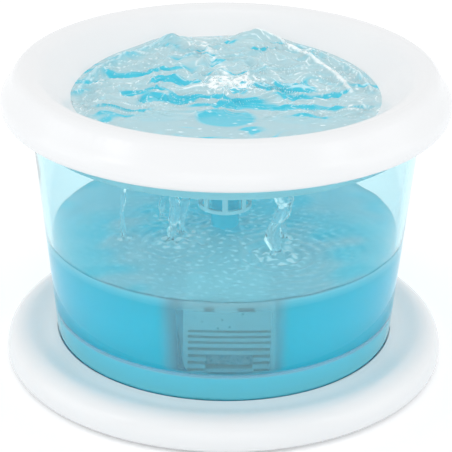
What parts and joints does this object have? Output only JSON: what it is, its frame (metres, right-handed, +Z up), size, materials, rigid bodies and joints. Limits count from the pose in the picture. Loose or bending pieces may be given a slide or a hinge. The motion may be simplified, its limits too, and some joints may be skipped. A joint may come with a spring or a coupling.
{
  "type": "pet water fountain",
  "caption": "Round bubbling pet water fountain: saucer base, clear tapered tank, roll-edged ring with a perforated dish, and a pump and filter unit inside.",
  "frame": {"origin": "on the table under the middle of the base", "axes": "+Z up, -Y towards the ribbed intake grille, +X to the right seen from there"},
  "size_m": [0.232, 0.232, 0.1597],
  "materials": {
    "white_plastic": "gloss",
    "clear_blue_plastic": "clear",
    "deep_blue_plastic": "clear",
    "pump_plastic": "satin",
    "grey_rubber": "matt",
    "steel_laminations": "satin",
    "copper_winding": "satin",
    "resin": "satin",
    "ceramic": "satin",
    "magnet": "matt",
    "foam": "matt",
    "carbon": "matt"
  },
  "bodies": {
    "stand": {"base_ring": "white_plastic", "foot_pads": "grey_rubber", "tank": "clear_blue_plastic"},
    "pump_unit": {"pump_body": "pump_plastic", "stator_core": "steel_laminations", "coil": "copper_winding", "potting": "resin", "cable_gland": "grey_rubber", "rear_bush": "grey_rubber", "front_bush": "grey_rubber", "impeller_cover": "pump_plastic", "shaft": "ceramic", "filter_box": "pump_plastic", "suction_cups": "grey_rubber", "outlet_seal": "grey_rubber", "riser_tube": "deep_blue_plastic"},
    "rotor": {"impeller": "pump_plastic", "rotor_magnet": "magnet"},
    "carbon_filter": {"carbon_pad": "carbon"},
    "foam_filter": {"foam_pad": "foam"},
    "grille": {"intake_grille": "pump_plastic"},
    "flow_control": {"flow_slider": "pump_plastic"},
    "dish_unit": {"dish": "clear_blue_plastic", "dish_sleeve": "clear_blue_plastic"},
    "cap": {"nozzle_cap": "deep_blue_plastic"},
    "ring": {"top_ring": "white_plastic"}
  },
  "joints": [
    {"name": "pump_lift", "type": "slide", "parent": "stand", "child": "pump_unit", "axis": [0, 0, 1], "range_m": [0, 0.125]},
    {"name": "impeller_spin", "type": "hinge", "parent": "pump_unit", "child": "rotor", "pos_m": [0.0025, 0, 0.0399], "axis": [0, 1, 0], "continuous": true},
    {"name": "carbon_slide", "type": "slide", "parent": "pump_unit", "child": "carbon_filter", "axis": [0, -1, 0], "range_m": [0, 0.022]},
    {"name": "foam_slide", "type": "slide", "parent": "carbon_filter", "child": "foam_filter", "axis": [0, -1, 0], "range_m": [0, 0.022]},
    {"name": "grille_slide", "type": "slide", "parent": "foam_filter", "child": "grille", "axis": [0, -1, 0], "range_m": [0, 0.022]},
    {"name": "flow_slide", "type": "slide", "parent": "grille", "child": "flow_control", "axis": [1, 0, 0], "range_m": [-0.0043, 0.0077]},
    {"name": "dish_lift", "type": "slide", "parent": "pump_unit", "child": "dish_unit", "axis": [0, 0, 1], "range_m": [0, 0.06]},
    {"name": "cap_lift", "type": "slide", "parent": "dish_unit", "child": "cap", "axis": [0, 0, 1], "range_m": [0, 0.03]},
    {"name": "ring_lift", "type": "slide", "parent": "dish_unit", "child": "ring", "axis": [0, 0, 1], "range_m": [0, 0.05]}
  ]
}
